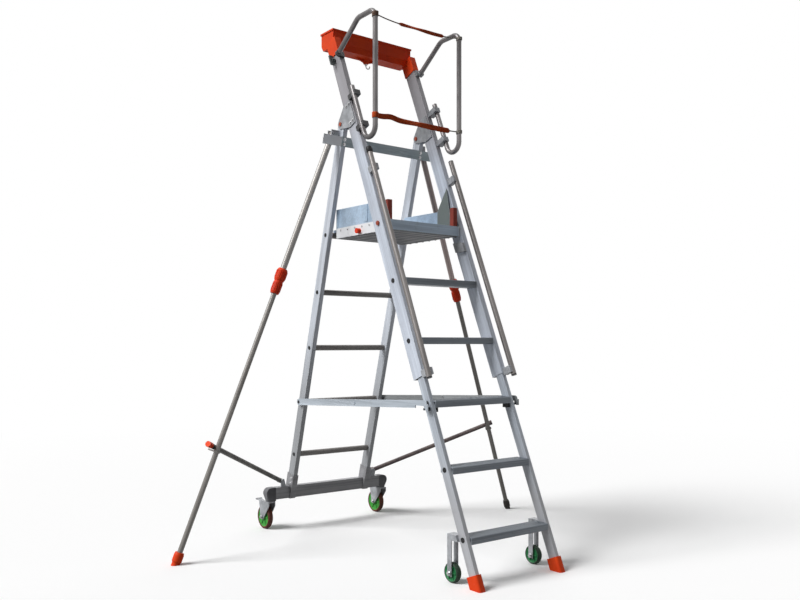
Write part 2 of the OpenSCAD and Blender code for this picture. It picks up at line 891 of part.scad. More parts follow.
module spreader_front() {
    translate([bar_b, 0, 0]) rotate([90, 0, 90]) linear_extrude(5) difference() {
        union() {
            hull() {
                translate([bar_mid[1], bar_mid[2]]) circle(d = bar_h);
                translate([bar_front[1], bar_front[2]]) circle(d = bar_h);
            }
            polygon([[stud[1] + 2, bar_front[2]], [stud[1] - 26, bar_front[2]],
                [stud[1] - 26, stud[2] - 5], [stud[1] - 10, stud[2] - 5],
                [stud[1] - 5.6, stud[2] + 5.4], [stud[1] + 2, stud[2] + 5.4]]);
        }
        translate([bar_mid[1], bar_mid[2]]) circle(d = 8.14);
        translate([stud[1], stud[2] - 3]) square([60, 16.6], center = false);
        translate([stud[1], stud[2]]) circle(d = 10.8);
    }
}

module spreader_rear_left() {
    color("#b7c6dc") left() spreader_rear();
}

module spreader_rear_right() {
    color("#b7c6dc") spreader_rear();
}

module spreader_front_left() {
    color("#b7c6dc") left() spreader_front();
}

module spreader_front_right() {
    color("#b7c6dc") spreader_front();
}

upper_stiles();
upper_treads();
upper_plugs();
frame_brackets();
hinge_pins();
handrails();
handrail_brackets();
tray();
tray_hook();
guard_loops();
loop_clamps();
wing_knob_left();
wing_knob_right();
strap_upper();
strap_lower();
lower_stiles();
lower_treads();
lower_plugs();
front_feet();
guide_shoes();
wheel_arms();
front_hub_left();
front_hub_right();
front_tyre_left();
front_tyre_right();
rear_stiles();
rear_rungs();
rear_plugs();
base_bar();
base_caps();
knee_bar();
outrigger_brackets();
brace_brackets();
castor_fork_left();
castor_fork_right();
castor_hub_left();
castor_hub_right();
castor_tyre_left();
castor_tyre_right();
brake_pedal_left();
brake_pedal_right();
pole_left();
pole_right();
pole_collar_left();
pole_collar_right();
pole_leg_left();
pole_leg_right();
pole_foot_left();
pole_foot_right();
brace_left();
brace_right();
platform();
toe_boards();
platform_posts();
platform_knob_left();
platform_knob_right();
spreader_rear_left();
spreader_rear_right();
spreader_front_left();
spreader_front_right();
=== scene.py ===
"""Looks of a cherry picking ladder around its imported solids: finishes, webbing straps,
bolts, rivets, moulded ribs and beads, with a white floor and soft light."""

import json
import math

import bmesh
import bpy
from mathutils import Matrix, Vector

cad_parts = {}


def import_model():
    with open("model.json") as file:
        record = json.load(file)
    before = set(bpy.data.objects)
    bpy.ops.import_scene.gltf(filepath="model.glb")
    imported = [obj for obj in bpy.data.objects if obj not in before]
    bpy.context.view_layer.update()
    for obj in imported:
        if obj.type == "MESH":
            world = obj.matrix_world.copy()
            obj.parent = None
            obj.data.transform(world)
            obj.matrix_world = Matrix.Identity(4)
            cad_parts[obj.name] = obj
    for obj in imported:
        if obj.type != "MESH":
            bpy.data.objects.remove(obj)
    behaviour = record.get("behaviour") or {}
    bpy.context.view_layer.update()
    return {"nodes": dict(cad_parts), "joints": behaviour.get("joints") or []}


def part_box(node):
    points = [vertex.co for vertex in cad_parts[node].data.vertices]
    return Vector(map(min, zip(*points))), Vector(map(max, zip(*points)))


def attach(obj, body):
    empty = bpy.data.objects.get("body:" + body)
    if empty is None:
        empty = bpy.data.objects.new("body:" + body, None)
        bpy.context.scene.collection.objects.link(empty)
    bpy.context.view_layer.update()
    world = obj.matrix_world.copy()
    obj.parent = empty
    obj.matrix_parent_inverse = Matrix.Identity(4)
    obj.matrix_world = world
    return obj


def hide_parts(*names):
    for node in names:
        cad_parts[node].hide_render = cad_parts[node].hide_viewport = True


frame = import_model()
nodes = frame["nodes"]
joints = {j["name"]: j for j in frame["joints"]}

# The ladder's own directions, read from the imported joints

SIDES = (("left", -1), ("right", 1))
UP = Vector((0, 0, 1))


def joint_at(name):
    """A joint's place at rest."""
    return Vector(joints[name]["pos_m"])


def joint_axis(name):
    """The line that a joint slides along or turns about."""
    return Vector(joints[name]["axis"])


front_up = joint_axis("lower_slide")
front_lean = math.atan2(front_up.y, front_up.z)
front_back = Vector((0, front_up.z, -front_up.y))
pivot_at = joint_at("platform_lift")
fold_at = joint_at("rear_fold")
bar_at = joint_at("spreader_lift_right")
rear_lean = math.atan2(bar_at.y - fold_at.y, fold_at.z - bar_at.z)
rear_up = Vector((0, -math.sin(rear_lean), math.cos(rear_lean)))
rear_back = Vector((0, rear_up.z, -rear_up.y))


def on_front(x, behind, above):
    """A place on the front ladder: across, behind its stile line, along from the platform."""
    return Vector((x, pivot_at.y, pivot_at.z)) + front_back * behind + front_up * above


def on_rear(x, behind, below):
    """A place on the rear frame: across, behind its stile line, down from the fold pin."""
    return Vector((x, fold_at.y, fold_at.z)) + rear_back * behind - rear_up * below


# Camera, in the photograph's 800 x 600 frame

FOCAL_PX, IMAGE_W_PX, HORIZON_SHIFT_PX = 832.9, 800, 43.24
SENSOR_MM = 36
EYE = Vector((-2.564, -3.2885, 1.0076))
HEADING = math.radians(-37.66)

eye = bpy.data.cameras.new("eye")
eye.sensor_width = SENSOR_MM
eye.lens = SENSOR_MM * FOCAL_PX / IMAGE_W_PX
eye.shift_y = HORIZON_SHIFT_PX / IMAGE_W_PX
camera = bpy.data.objects.new("camera", eye)
camera.location = EYE
camera.rotation_euler = (math.pi / 2, 0, HEADING)
bpy.context.scene.collection.objects.link(camera)
bpy.context.scene.camera = camera
bpy.context.scene.view_settings.view_transform = "Standard"


# Node building blocks

MIX_FIRST, MIX_SECOND, MIX_RESULT = 6, 7, 2  # a Mix node's colour sockets, by number


def add(tree, kind, inputs=None, **settings):
    """A new node with its settings and inputs; an input that is a socket gets linked."""
    made = tree.nodes.new(kind)
    for name, value in settings.items():
        setattr(made, name, value)
    for key, value in (inputs or {}).items():
        if isinstance(value, bpy.types.NodeSocket):
            tree.links.new(value, made.inputs[key])
        else:
            made.inputs[key].default_value = value
    return made


def place(tree, scale=(1, 1, 1), turn=(0, 0, 0)):
    """Object coordinates, turned and then stretched, so a grain can run along a piece."""
    coords = add(tree, "ShaderNodeTexCoord").outputs["Object"]
    turned = add(tree, "ShaderNodeMapping", {"Vector": coords, "Rotation": turn})
    return add(
        tree, "ShaderNodeMapping", {"Vector": turned.outputs[0], "Scale": scale}
    ).outputs[0]


def noise(tree, at, scale, detail=4, rough=0.55):
    """Cloudy noise at a place, from 0 to 1."""
    return add(
        tree,
        "ShaderNodeTexNoise",
        {"Vector": at, "Scale": scale, "Detail": detail, "Roughness": rough},
    ).outputs["Fac"]


def ramp(tree, value, low, high, out_low=0.0, out_high=1.0):
    """A value carried from one range to another, and held at the ends."""
    return add(
        tree,
        "ShaderNodeMapRange",
        {
            "Value": value,
            "From Min": low,
            "From Max": high,
            "To Min": out_low,
            "To Max": out_high,
        },
    ).outputs[0]


def math_node(tree, operation, a, b=0.0):
    """One step of arithmetic on two values."""
    return add(tree, "ShaderNodeMath", {0: a, 1: b}, operation=operation).outputs[0]


def times(tree, a, b):
    """Two values multiplied."""
    return math_node(tree, "MULTIPLY", a, b)


def weighted(tree, first, first_share, second, second_share):
    """The sum of two values, each times its share."""
    return math_node(tree, "ADD", times(tree, first, first_share),
                     times(tree, second, second_share))


def blend_colour(tree, share, first, second):
    """The first colour where share is 0 and the second where it is 1."""
    mix = add(tree, "ShaderNodeMix", {"Factor": share}, data_type="RGBA")
    for index, colour in ((MIX_FIRST, first), (MIX_SECOND, second)):
        if isinstance(colour, bpy.types.NodeSocket):
            tree.links.new(colour, mix.inputs[index])
        else:
            mix.inputs[index].default_value = (*colour, 1)
    return mix.outputs[MIX_RESULT]


def bump(tree, height, strength, distance):
    """A normal that follows a height."""
    return add(
        tree,
        "ShaderNodeBump",
        {"Height": height, "Strength": strength, "Distance": distance},
    ).outputs[0]


def new_material(name):
    """A material with its tree and its shader."""
    made = bpy.data.materials.new(name)
    made.use_nodes = True
    return made, made.node_tree, made.node_tree.nodes["Principled BSDF"]


def link(tree, socket, shader, name):
    """Link a socket to one of the shader's inputs."""
    tree.links.new(socket, shader.inputs[name])


def part_way(tree, axis, start, end, most=1.0):
    """0 before start and most after end, along one axis of the object's own frame."""
    split = add(tree, "ShaderNodeSeparateXYZ", {0: place(tree)})
    return ramp(tree, split.outputs[axis], start, end, 0.0, most)


def beside(tree, axis, line, offsets):
    """0 on one side of a line across an axis and 1 on the other, between two offsets."""
    return part_way(tree, axis, line + offsets[0], line + offsets[1])


# Kinds of material

EDGE_FLAT, EDGE_SHARP = 0.97, 0.78  # how far a rounded normal agrees with the flat one
METAL_EDGE, SOFT_EDGE = 0.003, 0.0025  # radius of the pale edges: wear, and a painted highlight
EDGE_SHARE = 0.5  # how much the metal's edges pale: wear, and a painted highlight
BAND_STRETCH, BAND_LEAST = 0.16, 1.2  # slow bands of tone, from the fine grain
LINE_SHARE, BAND_SHARE = 0.45, 0.55
YARN_SHARE, FADE_SHARE = 0.4, 0.6
GRIME = (0.16, 0.15, 0.145)
EDGE_WEAR_GLINT_GAIN, EDGE_WEAR_GLINT_LIFT = 1.25, 0.08  # how much paler than its light tone a metal edge is: wear, and a painted highlight
PALE_GAIN, PALE_LIFT = 0.95, 0.045  # and paler plastic: scuffed patches, and edges with wear and a painted highlight
PICKS_PER_M = 420  # threads that cross each metre of webbing
CORD_FADE = 0.012  # length over which the webbing turns into a cord

# How closely a grain is packed along X, Y and Z; it runs along the loose axis
ALONG_X, ALONG_Z = (2.2, 160, 160), (160, 160, 2.2)
DECK_GRAIN, SHEET_GRAIN = (2.2, 140, 140), (3, 120, 120)
BAR_GRAIN, LOOP_GRAIN = (120, 3, 120), (120, 9, 9)
CAST_GRAIN, BRACE_GRAIN, BOLT_GRAIN = (40, 40, 40), (60, 60, 60), (90, 90, 90)


def paler(colour, gain, lift):
    """A colour made lighter, and held at white."""
    return tuple(min(1.0, c * gain + lift) for c in colour)


def edges(tree, radius):
    """1 along the sharp edges of a piece and 0 on its faces."""
    rounded = add(tree, "ShaderNodeBevel", {"Radius": radius}, samples=4)
    flat = add(tree, "ShaderNodeNewGeometry")
    same = add(tree, "ShaderNodeVectorMath",
               {0: rounded.outputs[0], 1: flat.outputs["Normal"]}, operation="DOT_PRODUCT")
    return ramp(tree, same.outputs["Value"], EDGE_FLAT, EDGE_SHARP)


def aluminium(name, light, dark, turn=(0, 0, 0), grain=ALONG_Z, metal=0.1, rough=0.4,
              dirt=0.16, shine=0.5, others=()):
    """Drawn aluminium: fine lines along the piece, a slow drift of tone, dull scuffs and pale
    edges, partly wear and partly a painted highlight. others are further colours, each
    with a function for where it shows."""
    made, tree, shader = new_material(name)
    broad = tuple(g * BAND_STRETCH + BAND_LEAST for g in grain)
    lines = noise(tree, place(tree, grain, turn), scale=1.0, detail=5, rough=0.6)
    bands = noise(tree, place(tree, broad, turn), scale=1.0, detail=3)
    spots = noise(tree, place(tree), scale=34, detail=6, rough=0.7)
    scuffs = ramp(tree, spots, low=0.56, high=0.74)
    tone = weighted(tree, lines, LINE_SHARE, bands, BAND_SHARE)
    colour = blend_colour(tree, ramp(tree, tone, low=0.38, high=0.62), dark, light)
    for tint, where in others:
        colour = blend_colour(tree, where(tree), colour, tint)
    grimy = blend_colour(tree, times(tree, scuffs, dirt), colour, GRIME)
    # Pale edges: wear, and a painted highlight along them
    bare_and_glint = paler(light, EDGE_WEAR_GLINT_GAIN, EDGE_WEAR_GLINT_LIFT)
    wear_and_glint = times(tree, edges(tree, METAL_EDGE), EDGE_SHARE)
    link(tree, blend_colour(tree, wear_and_glint, grimy, bare_and_glint), shader, "Base Color")
    link(tree, ramp(tree, tone, 0.3, 0.7, rough - 0.07, rough + 0.1), shader, "Roughness")
    link(tree, bump(tree, lines, strength=0.12, distance=0.0006), shader, "Normal")
    shader.inputs["Metallic"].default_value = metal
    shader.inputs["Specular IOR Level"].default_value = shine
    return made


def moulded(name, light, dark, rough=0.42, wear_and_glint_share=0.35):
    """Moulded plastic: a fine eggshell grain, uneven tone, paler scuffed patches, and paler
    edges that are partly wear and partly a painted highlight."""
    made, tree, shader = new_material(name)
    at = place(tree)
    drift = noise(tree, at, scale=7)
    pits = noise(tree, at, scale=900, detail=2)
    patches = ramp(tree, noise(tree, at, scale=46, detail=5, rough=0.7), low=0.57, high=0.75)
    colour = blend_colour(tree, ramp(tree, drift, low=0.35, high=0.68), dark, light)
    # Scuffed patches, and pale edges that are wear with a painted highlight
    wear_and_glint = math_node(tree, "MAXIMUM", patches, edges(tree, SOFT_EDGE))
    pale = paler(light, PALE_GAIN, PALE_LIFT)
    link(tree, blend_colour(tree, times(tree, wear_and_glint, wear_and_glint_share), colour, pale), shader, "Base Color")
    link(tree, ramp(tree, drift, 0.3, 0.7, rough - 0.08, rough + 0.1), shader, "Roughness")
    link(tree, bump(tree, pits, strength=0.25, distance=0.0004), shader, "Normal")
    shader.inputs["Specular IOR Level"].default_value = 0.18
    return made


def rubber(name, light, dark):
    """Dull rubber, dusty in its pores, with paler edges that are partly scuffs and partly a
    painted highlight.
    """
    made, tree, shader = new_material(name)
    at = place(tree)
    pores = ramp(tree, noise(tree, at, scale=60, detail=6, rough=0.7), low=0.5, high=0.72)
    # Dusty pores, and pale edges that are scuffs with a painted highlight
    dust_and_glint = math_node(tree, "MAXIMUM", pores, edges(tree, SOFT_EDGE))
    pits = noise(tree, at, scale=700, detail=3)
    link(tree, blend_colour(tree, dust_and_glint, dark, light), shader, "Base Color")
    link(tree, ramp(tree, dust_and_glint, 0, 1, out_low=0.62, out_high=0.85), shader, "Roughness")
    link(tree, bump(tree, pits, strength=0.3, distance=0.0005), shader, "Normal")
    shader.inputs["Specular IOR Level"].default_value = 0.3
    return made


def webbing(name, light, dark, cords=None, ends_across=9):
    """Woven webbing on its own UV map: U in metres along the band, V across it. cords
    gives the two X places past which the band is a plain cord, and the cords' colours."""
    made, tree, shader = new_material(name)
    uv = add(tree, "ShaderNodeUVMap", uv_map="band").outputs[0]
    split = add(tree, "ShaderNodeSeparateXYZ", {0: uv})
    warp = math_node(tree, "SINE", times(tree, split.outputs["Y"], ends_across * 2 * math.pi))
    weft = math_node(tree, "SINE", times(tree, split.outputs["X"], PICKS_PER_M * 2 * math.pi))
    weave = times(tree, warp, weft)
    yarn = ramp(tree, weave, -1, 1, out_low=0.25, out_high=0.75)
    fade = noise(tree, place(tree), scale=22, detail=5, rough=0.65)
    shade = ramp(tree, weighted(tree, yarn, YARN_SHARE, fade, FADE_SHARE), low=0.36, high=0.64)
    colour = blend_colour(tree, shade, dark, light)
    if cords:
        first, last, brown, pale = cords
        for edge, past, tint in ((first, first - CORD_FADE, brown),
                                 (last, last + CORD_FADE, pale)):
            low = tuple(c * 0.5 for c in tint)
            colour = blend_colour(tree, part_way(tree, "X", edge, past), colour,
                                  blend_colour(tree, shade, low, tint))
    link(tree, colour, shader, "Base Color")
    link(tree, bump(tree, weave, strength=0.5, distance=0.0008), shader, "Normal")
    shader.inputs["Roughness"].default_value = 0.85
    shader.inputs["Specular IOR Level"].default_value = 0.2
    shader.inputs["Sheen Weight"].default_value = 0.1
    return made


# Places where a finish changes

deck_low, deck_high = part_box("platform")
stile_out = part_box("rear_stiles")[0].x
UPSTAND_BACK = 0.132  # back of the toe boards' raised front, behind the platform's pivot
BRACE_CAP = 0.7478  # start of the left brace's moulded end, from the brace's pivot
TIP_BLUR, SIDE_BLUR = 0.0005, 0.01

# Heights between which a finish changes, and the most of it that shows
DARKER_TOP = {"start": 1.90, "end": 2.16, "most": 0.8}
DARKER_LOWER_HALF = {"start": 1.12, "end": 0.66, "most": 0.78}
GREYER_END = {"start": 0.62, "end": 0.30, "most": 0.75}


def below_deck(tree):
    """The lit flange of the toe boards, beside the deck itself."""
    return beside(tree, "Z", deck_high.z, (0.001, -0.004))


def shaded_underside(tree):
    """Painted shade on the underside of the deck."""
    return beside(tree, "Z", deck_low.z, (0.003, 0.001))


def shaded_right_upstand(tree):
    """Painted shade on the raised front of the right toe board."""
    front = beside(tree, "Y", pivot_at.y + UPSTAND_BACK, (0.002, -0.006))
    return times(tree, front, part_way(tree, "X", -SIDE_BLUR, SIDE_BLUR))


def high_up(tree):
    """The darker top of the front stiles, above the fold."""
    return part_way(tree, "Z", **DARKER_TOP)


def low_down(tree):
    """The darker lower half of the rear stiles."""
    return part_way(tree, "Z", **DARKER_LOWER_HALF)


def near_feet(tree):
    """The greyer lower end of the front stiles."""
    return part_way(tree, "Z", **GREYER_END)


def left_side(tree):
    """The ladder's left half."""
    return part_way(tree, "X", SIDE_BLUR, -SIDE_BLUR)


def left_tip(tree):
    """The moulded end of the left brace, past the pole that it rests on."""
    foot = tuple(joint_at("brace_lift_left"))
    run = add(tree, "ShaderNodeVectorMath", {0: place(tree), 1: foot}, operation="DISTANCE")
    return ramp(tree, run.outputs["Value"], BRACE_CAP - TIP_BLUR, BRACE_CAP + TIP_BLUR)


def lit_end_past_stile(tree):
    """Painted light on the end of the knee bar that stands out past the left rear stile."""
    return beside(tree, "X", stile_out, (-0.001, -0.006))


# Finishes: a light and a dark tone each, in linear colour

front_turn, rear_turn = (front_lean, 0, 0), (-rear_lean, 0, 0)
stile_front = aluminium("stile_front", (0.73, 0.79, 0.89), (0.46, 0.50, 0.575), front_turn,
                        others=[((0.28, 0.255, 0.26), high_up)])
stile_lower = aluminium("stile_lower", (0.64, 0.70, 0.78), (0.38, 0.415, 0.465), front_turn,
                        others=[((0.43, 0.425, 0.435), near_feet)])
stile_rear = aluminium("stile_rear", (0.72, 0.765, 0.84), (0.42, 0.45, 0.50), rear_turn,
                       others=[((0.27, 0.275, 0.28), low_down)])
tread_metal = aluminium("tread_metal", (0.29, 0.325, 0.365), (0.155, 0.175, 0.205),
                        grain=ALONG_X, rough=0.46, dirt=0.3)
rung_metal = aluminium("rung_metal", (0.25, 0.235, 0.225), (0.125, 0.115, 0.11),
                       grain=ALONG_X)
# Painted shade on the right toe board's raised front; the flange beside the deck is painted
# light
sheet_metal = aluminium("sheet_metal", (0.50, 0.64, 0.80), (0.34, 0.45, 0.58),
                        grain=SHEET_GRAIN, rough=0.36,
                        others=[((0.17, 0.20, 0.19), shaded_right_upstand),
                                ((0.86, 0.87, 0.89), below_deck)])
# The knee bar's end past the left rear stile is paled with painted light
knee_metal = aluminium("knee_metal", (0.52, 0.60, 0.63), (0.32, 0.39, 0.415), grain=ALONG_X,
                       others=[((0.93, 0.94, 0.95), lit_end_past_stile)])
bar_metal = aluminium("bar_metal", (0.58, 0.64, 0.71), (0.33, 0.375, 0.42), grain=BAR_GRAIN,
                      rough=0.36)
# A darker copy of bar_metal: painted shade on the right spreaders
shaded_bar_metal = aluminium("shaded_bar_metal", (0.31, 0.325, 0.335), (0.17, 0.18, 0.185),
                          grain=BAR_GRAIN, rough=0.36)
# The deck's underside is darkened with painted shade
deck_metal = aluminium("deck_metal", (0.58, 0.70, 0.84), (0.32, 0.40, 0.50),
                       grain=DECK_GRAIN, rough=0.42, dirt=0.3,
                       others=[((0.115, 0.115, 0.118), shaded_underside)])
bead_metal = aluminium("bead_metal", (0.22, 0.23, 0.245), (0.115, 0.12, 0.13),
                       grain=DECK_GRAIN, dirt=0.3)
tube_metal = aluminium("tube_metal", (0.29, 0.27, 0.26), (0.13, 0.12, 0.116), front_turn,
                       metal=0.5, rough=0.34)
guard_metal = aluminium("guard_metal", (0.25, 0.235, 0.235), (0.10, 0.094, 0.096),
                        grain=LOOP_GRAIN, metal=0.5, rough=0.32)

# The right outrigger is warmer than the left one, and its sliding leg darker
WARM, DEEP = {"left": 1.0, "right": 0.84}, {"left": 1.0, "right": 0.62}
TIP_ORANGE = (0.84, 0.062, 0.008)
pole_metal, leg_metal, brace_metal = {}, {}, {}
for side, _ in SIDES:
    lean = joint_axis("leg_slide_" + side).rotation_difference(UP).to_euler()
    warm, deep = WARM[side], DEEP[side]
    pole_metal[side] = aluminium("pole_metal_" + side, (0.42, 0.40 * warm, 0.38 * warm),
                                 (0.22, 0.208 * warm, 0.196 * warm), lean, metal=0.3)
    leg_metal[side] = aluminium("leg_metal_" + side, (0.29 * deep, 0.275 * deep, 0.258 * deep),
                                (0.13 * deep, 0.119 * deep, 0.108 * deep), lean, metal=0.3)
    brace_metal[side] = aluminium(
        "brace_metal_" + side, (0.24, 0.23 * warm, 0.215 * warm), (0.11, 0.105 * warm, 0.097),
        grain=BRACE_GRAIN, metal=0.05, shine=0.15,
        others=[(TIP_ORANGE, left_tip)] if side == "left" else ())

base_metal = aluminium("base_metal", (0.34, 0.34, 0.355), (0.18, 0.18, 0.19), grain=ALONG_X,
                       rough=0.42, dirt=0.3)
bracket_metal = aluminium("bracket_metal", (0.46, 0.475, 0.50), (0.24, 0.25, 0.265),
                          grain=CAST_GRAIN, rough=0.42, dirt=0.3)
clamp_metal = aluminium("clamp_metal", (0.40, 0.415, 0.44), (0.20, 0.21, 0.225),
                        grain=CAST_GRAIN, dirt=0.3,
                        others=[((0.030, 0.030, 0.032), left_side)])
bolt_metal = aluminium("bolt_metal", (0.56, 0.56, 0.57), (0.32, 0.32, 0.33),
                       grain=BOLT_GRAIN, metal=0.8, rough=0.3)
pin_metal = moulded("pin_metal", (0.50, 0.11, 0.06), (0.28, 0.055, 0.03), rough=0.4)
orange_shell = moulded("orange_shell", (0.90, 0.082, 0.010), (0.72, 0.050, 0.008), rough=0.55)
red_shell = moulded("red_shell", (0.90, 0.070, 0.016), (0.74, 0.046, 0.011), rough=0.5)
# The platform posts: orange plastic coloured the dark red-brown of its shade, a painted shade
shaded_post_shell = moulded("shaded_post_shell", (0.37, 0.072, 0.050), (0.22, 0.038, 0.028))
grey_shell = moulded("grey_shell", (0.125, 0.14, 0.14), (0.06, 0.068, 0.07))
black_shell = moulded("black_shell", (0.030, 0.030, 0.032), (0.012, 0.012, 0.013), wear_and_glint_share=0.2)
cap_shell = moulded("cap_shell", (0.19, 0.19, 0.20), (0.105, 0.105, 0.112), wear_and_glint_share=0.25)
green_shell = moulded("green_shell", (0.070, 0.40, 0.060), (0.032, 0.24, 0.030))
deep_green_shell = moulded("deep_green_shell", (0.040, 0.26, 0.095), (0.018, 0.14, 0.048))
tyre_rubber = rubber("tyre_rubber", (0.25, 0.075, 0.038), (0.085, 0.026, 0.016))
tyre_dark = rubber("tyre_dark", (0.075, 0.135, 0.085), (0.022, 0.046, 0.028))
dark_rubber = rubber("dark_rubber", (0.085, 0.072, 0.066), (0.028, 0.023, 0.021))
STRAP_LIGHT, STRAP_DARK = (0.78, 0.105, 0.012), (0.40, 0.045, 0.007)
CORD_BROWN, CORD_PALE = (0.20, 0.12, 0.085), (0.50, 0.47, 0.42)
strap_web = webbing("strap_web", STRAP_LIGHT, STRAP_DARK)
cord_web = webbing("cord_web", CORD_BROWN, (0.09, 0.05, 0.035), ends_across=3)
pale_web = webbing("pale_web", CORD_PALE, (0.26, 0.24, 0.21), ends_across=3)
thread_web = moulded("thread_web", (0.42, 0.05, 0.012), (0.24, 0.025, 0.008), rough=0.8)

FINISH = {
    stile_front: ("upper_stiles",),
    stile_lower: ("lower_stiles",),
    stile_rear: ("rear_stiles",),
    tread_metal: ("upper_treads", "lower_treads"),
    rung_metal: ("rear_rungs",),
    sheet_metal: ("toe_boards",),
    knee_metal: ("knee_bar",),
    bar_metal: ("spreader_rear_left", "spreader_front_left"),
    shaded_bar_metal: ("spreader_rear_right", "spreader_front_right"),
    deck_metal: ("platform",),
    tube_metal: ("handrails",),
    guard_metal: ("guard_loops",),
    pole_metal["left"]: ("pole_left",),
    pole_metal["right"]: ("pole_right",),
    leg_metal["left"]: ("pole_leg_left",),
    leg_metal["right"]: ("pole_leg_right",),
    brace_metal["left"]: ("brace_left",),
    brace_metal["right"]: ("brace_right",),
    clamp_metal: ("loop_clamps",),
    base_metal: ("base_bar",),
    bracket_metal: ("frame_brackets", "handrail_brackets", "wheel_arms",
                    "outrigger_brackets", "brace_brackets", "castor_fork_left",
                    "castor_fork_right", "brake_pedal_left", "brake_pedal_right"),
    bolt_metal: ("tray_hook",),
    pin_metal: ("hinge_pins",),
    orange_shell: ("tray", "front_feet", "pole_foot_left"),
    red_shell: ("pole_collar_left", "pole_collar_right", "platform_knob_left",
                "platform_knob_right"),
    shaded_post_shell: ("platform_posts",),
    grey_shell: ("wing_knob_left", "wing_knob_right"),
    black_shell: ("upper_plugs", "lower_plugs", "rear_plugs", "guide_shoes"),
    cap_shell: ("base_caps",),
    green_shell: ("castor_hub_left", "castor_hub_right"),
    deep_green_shell: ("front_hub_left", "front_hub_right"),
    tyre_rubber: ("castor_tyre_left", "castor_tyre_right"),
    tyre_dark: ("front_tyre_left", "front_tyre_right"),
    dark_rubber: ("pole_foot_right",),
}
for finish, names in FINISH.items():
    for name in names:
        nodes[name].data.materials.clear()
        nodes[name].data.materials.append(finish)


# New pieces

BAND_FLAT, BAND_EDGE = 0.8, 0.4  # shares of a band's width and thickness inside its bevels


def piece(name, mesh, body, material=None):
    """A finished mesh as a piece that rides on a body of the frame."""
    made = bpy.data.objects.new(name, mesh)
    bpy.context.scene.collection.objects.link(made)
    if material:
        mesh.materials.append(material)
    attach(made, body)
    return made


def finished(shape, name):
    """A shape's mesh, with its faces turned outward."""
    bmesh.ops.recalc_face_normals(shape, faces=shape.faces)
    mesh = bpy.data.meshes.new(name)
    shape.to_mesh(mesh)
    shape.free()
    return mesh


def turned_to(way):
    """The turn that brings Z round to a direction."""
    return way.to_track_quat("Z", "Y").to_matrix()


def band_frames(middle, rolls=None):
    """At each point of a band: the way ahead, across its thickness, and up its width."""
    frames = []
    for i in range(len(middle)):
        ahead = (middle[min(i + 1, len(middle) - 1)] - middle[max(i - 1, 0)]).normalized()
        roll = Matrix.Rotation(rolls[i] if rolls else 0.0, 3, ahead)
        side = roll @ UP.cross(ahead).normalized()
        frames.append((ahead, side, ahead.cross(side).normalized()))
    return frames


def band_mesh(name, middle, widths, thick, rolls=None):
    """A flat band along points, upright or rolled about its run, with a UV map in metres."""
    shape = bmesh.new()
    uv = shape.loops.layers.uv.new("band")
    rows, run = [], 0.0
    frames = band_frames(middle, rolls)
    for i, (point, width) in enumerate(zip(middle, widths)):
        if i:
            run += (point - middle[i - 1]).length
        _, side, up = frames[i]
        half_w, half_t = width / 2, thick / 2
        flat_w, edge_t = half_w * BAND_FLAT, half_t * BAND_EDGE
        ring = [
            (-half_w, -edge_t), (-flat_w, -half_t), (flat_w, -half_t), (half_w, -edge_t),
            (half_w, edge_t), (flat_w, half_t), (-flat_w, half_t), (-half_w, edge_t),
        ]
        rows.append((run, [(shape.verts.new(point + up * a + side * b), a / width + 0.5)
                           for a, b in ring]))
    for (u0, low), (u1, high) in zip(rows, rows[1:]):
        for k in range(len(low)):
            a, b = low[k], low[(k + 1) % len(low)]
            c, d = high[(k + 1) % len(low)], high[k]
            face = shape.faces.new((a[0], b[0], c[0], d[0]))
            face.smooth = True
            for loop, (u, v) in zip(face.loops, ((u0, a[1]), (u0, b[1]), (u1, c[1]),
                                                 (u1, d[1]))):
                loop[uv].uv = (u, v)
    for end in (rows[0][1], rows[-1][1]):
        shape.faces.new([v for v, _ in end])
    return finished(shape, name)


def smooth_share(x):
    """A soft step from 0 to 1."""
    x = max(0.0, min(1.0, x))
    return x * x * (3 - 2 * x)


# Repeated pieces, made with geometry nodes

FLOAT, COUNT = "NodeSocketFloat", "NodeSocketInt"


def node_tree(name, sizes):
    """A geometry tree with a geometry input and named sizes, and its group ends."""
    tree = bpy.data.node_groups.new(name, "GeometryNodeTree")
    face = tree.interface
    face.new_socket("Geometry", in_out="INPUT", socket_type="NodeSocketGeometry")
    for label, (kind, value) in sizes.items():
        socket = face.new_socket(label, in_out="INPUT", socket_type=kind)
        socket.default_value = value
    face.new_socket("Geometry", in_out="OUTPUT", socket_type="NodeSocketGeometry")
    return tree, tree.nodes.new("NodeGroupInput"), tree.nodes.new("NodeGroupOutput")


def vector(tree, **parts):
    """A vector made from the parts that are given."""
    return add(tree, "ShaderNodeCombineXYZ", parts).outputs[0]


def lifted(tree, geometry, height):
    """Geometry raised along Z."""
    return add(tree, "GeometryNodeTransform", {
        "Geometry": geometry, "Translation": vector(tree, Z=height)}).outputs["Geometry"]


def line_ends(tree, length):
    """The two ends of a line of some length along X, about the middle."""
    half = times(tree, length, 0.5)
    return vector(tree, X=times(tree, half, -1.0)), vector(tree, X=half)


def round_bar(tree, path, radius, sides):
    """A closed round bar along a curve."""
    ring = add(tree, "GeometryNodeCurvePrimitiveCircle", {
        "Resolution": sides, "Radius": radius})
    return add(tree, "GeometryNodeCurveToMesh", {
        "Curve": path.outputs[0], "Profile Curve": ring.outputs[0],
        "Fill Caps": True}).outputs[0]


def aimed(tree, axis):
    """The turn that brings an axis round to each point's own way."""
    aim = add(tree, "GeometryNodeInputNamedAttribute", {"Name": "aim"},
              data_type="FLOAT_VECTOR")
    return add(tree, "FunctionNodeAlignRotationToVector", {
        "Vector": aim.outputs["Attribute"]}, axis=axis).outputs[0]


